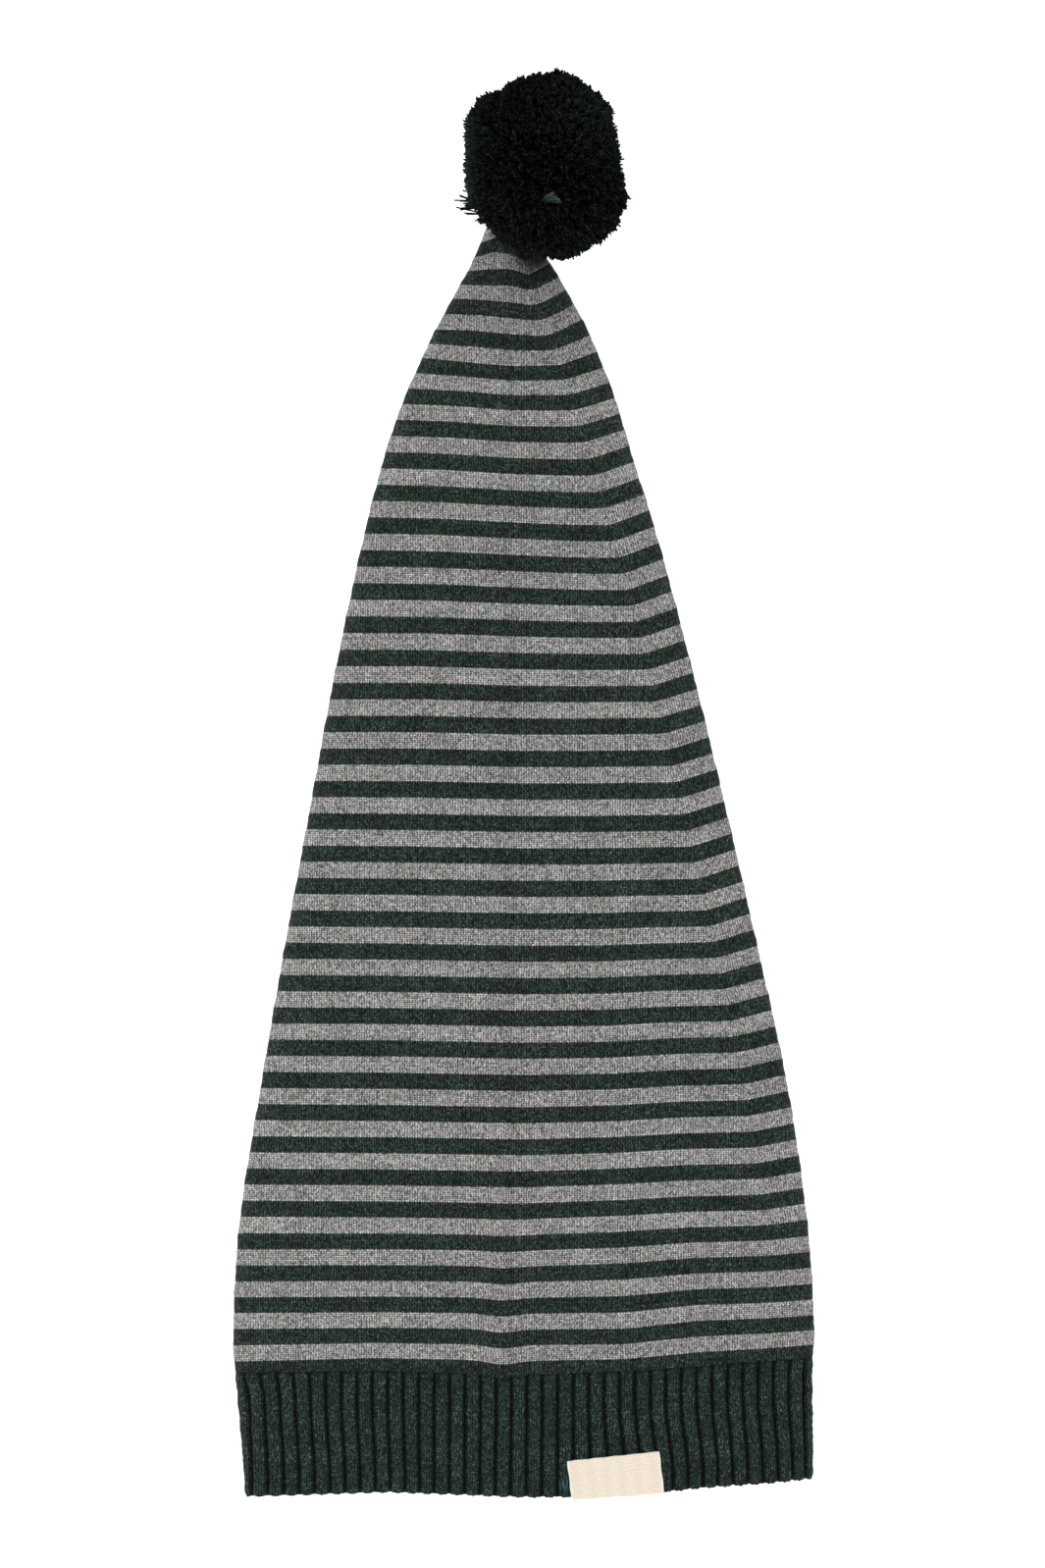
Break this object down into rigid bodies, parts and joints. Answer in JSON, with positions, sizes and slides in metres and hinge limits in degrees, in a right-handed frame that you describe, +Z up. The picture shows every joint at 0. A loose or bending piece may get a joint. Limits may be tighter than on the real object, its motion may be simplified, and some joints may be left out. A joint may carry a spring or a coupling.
{
  "type": "elf hat",
  "caption": "Long tapering knitted cap, striped green and grey, lying flat, with a ribbed cuff, a folded woven tab on the hem and a yarn pompom over the tip.",
  "frame": {"origin": "on the surface the hat lies on, under the middle of its bounding box", "axes": "+X to the right of the flat hat seen from above with its tip away from the viewer, +Y from the mouth to the tip, +Z up from the surface"},
  "size_m": [0.213, 0.5252, 0.0596],
  "materials": {
    "striped_knit": "fine jersey knit in stripes of dark green and silver-grey melange, each eight courses high",
    "rib_knit": "fine ribbed knit in plain dark green",
    "pompom_yarn": "cut pile of near-black green yarn",
    "woven_tab": "cream woven ribbon, bare"
  },
  "bodies": {
    "root": {"crown": "striped_knit", "rib_cuff": "rib_knit", "pompom": "pompom_yarn", "hem_tab": "woven_tab"}
  },
  "joints": []
}
